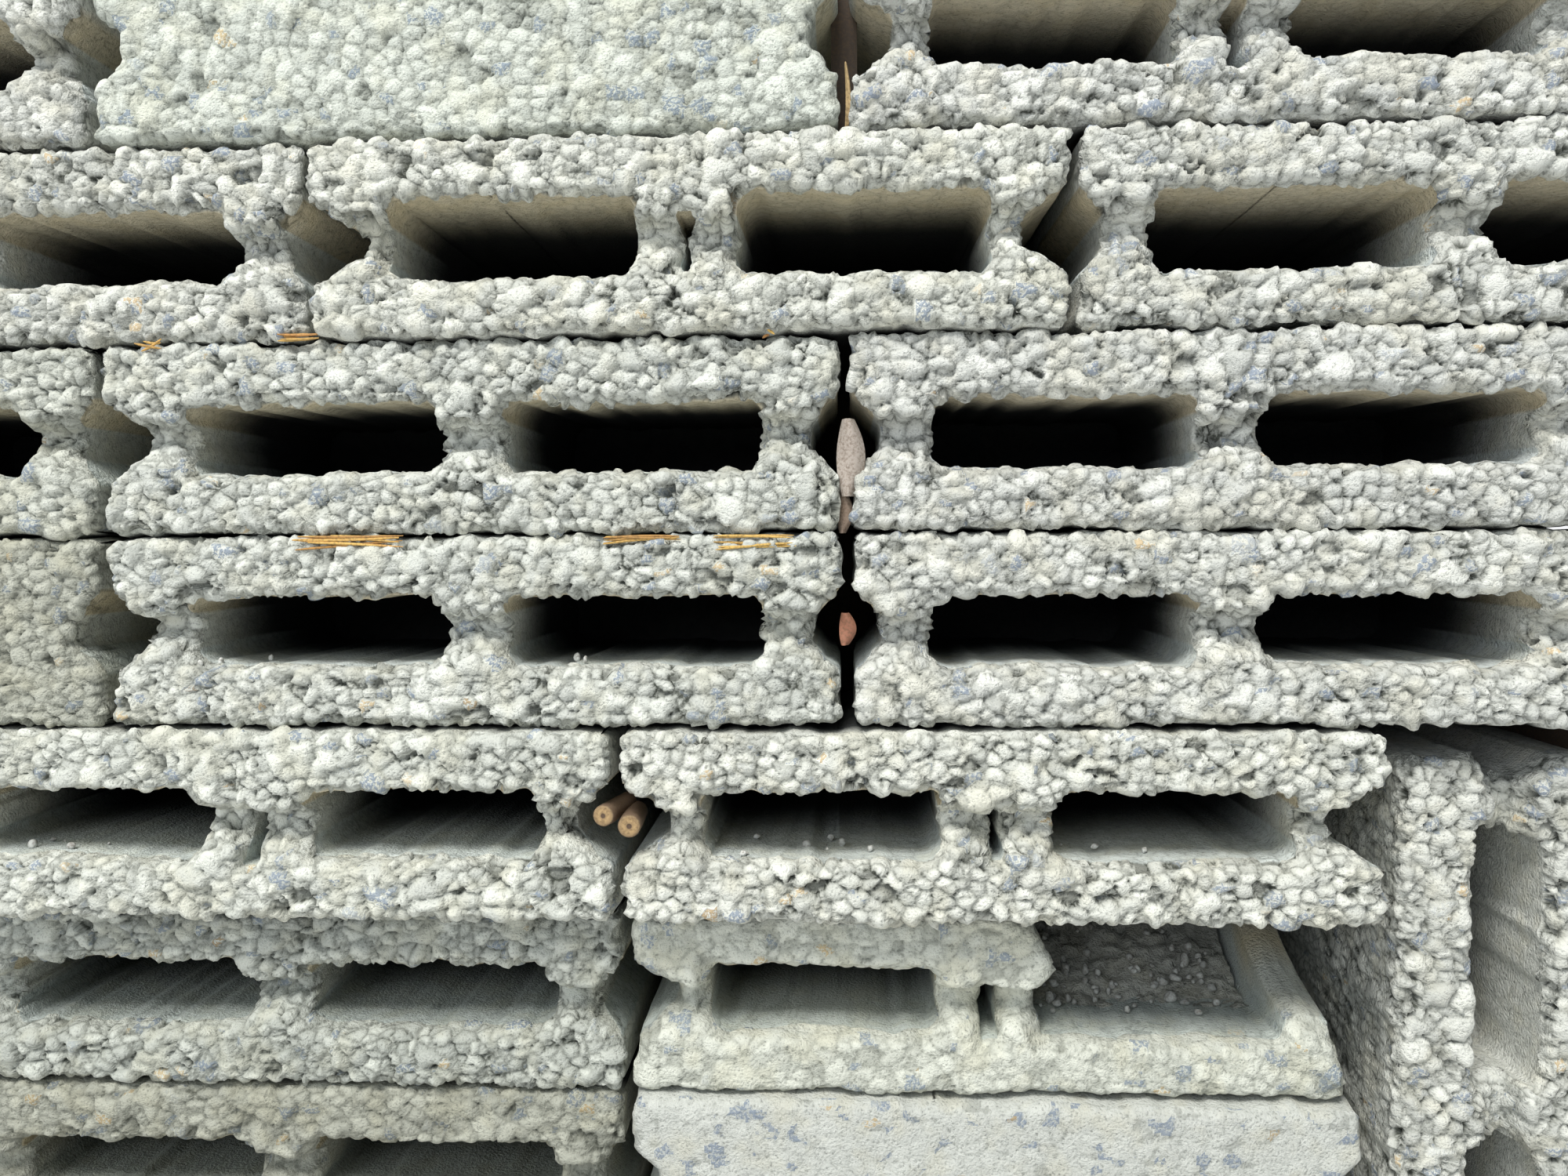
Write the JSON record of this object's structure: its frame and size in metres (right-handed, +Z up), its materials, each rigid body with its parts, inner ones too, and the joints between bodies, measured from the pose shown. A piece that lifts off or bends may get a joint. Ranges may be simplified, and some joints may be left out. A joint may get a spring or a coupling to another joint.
{
  "type": "pallet of concrete blocks",
  "caption": "Dry stack of hollow concrete blocks laid on their sides on a timber pallet, with pebbly faces, open cores and one broken block.",
  "frame": {"origin": "middle of the bounding box, on the floor under the pallet", "axes": "+Z up, +X to the right along the long front, +Y from the front to the rear; the pictured bed faces look towards -Y"},
  "size_m": [1.416, 0.8, 0.956],
  "materials": {
    "concrete": "coarse, open pebbly face",
    "timber": "rough sawn, weathered"
  },
  "bodies": {
    "root": {"block_on_end": "concrete", "bottom_course_rear_blocks": "concrete", "bottom_left_block": "concrete", "bottom_middle_block": "concrete", "bottom_right_block": "concrete", "fifth_course_rear_blocks": "concrete", "fifth_left_block": "concrete", "fifth_middle_block": "concrete", "fifth_right_block": "concrete", "fourth_course_rear_blocks": "concrete", "fourth_left_block_closed_face": "concrete", "fourth_middle_block": "concrete", "fourth_right_block": "concrete", "hidden_core": "concrete", "pallet_bottom_board_front": "timber", "pallet_bottom_board_middle": "timber", "pallet_bottom_board_rear": "timber", "pallet_cross_board_left": "timber", "pallet_cross_board_middle": "timber", "pallet_cross_board_right": "timber", "pallet_deck_board_1": "timber", "pallet_deck_board_2": "timber", "pallet_deck_board_3": "timber", "pallet_deck_board_4": "timber", "pallet_deck_board_5": "timber", "pallet_foot_front_left": "timber", "pallet_foot_front_middle": "timber", "pallet_foot_front_right": "timber", "pallet_foot_middle_left": "timber", "pallet_foot_middle_middle": "timber", "pallet_foot_middle_right": "timber", "pallet_foot_rear_left": "timber", "pallet_foot_rear_middle": "timber", "pallet_foot_rear_right": "timber", "rear_blocks_on_end": "concrete", "second_course_rear_blocks": "concrete", "second_left_block": "concrete", "second_middle_block": "concrete", "second_right_block": "concrete", "seventh_course_rear_blocks": "concrete", "seventh_left_block": "concrete", "seventh_middle_block": "concrete", "seventh_right_block_closed_face": "concrete", "sixth_course_rear_blocks": "concrete", "sixth_left_block": "concrete", "sixth_middle_block": "concrete", "sixth_right_block_broken": "concrete", "third_course_rear_blocks": "concrete", "third_left_block": "concrete", "third_middle_block": "concrete", "third_right_block": "concrete", "top_course_rear_blocks": "concrete", "top_left_block": "concrete", "top_middle_block_closed_face": "concrete", "top_right_block": "concrete"}
  },
  "joints": []
}
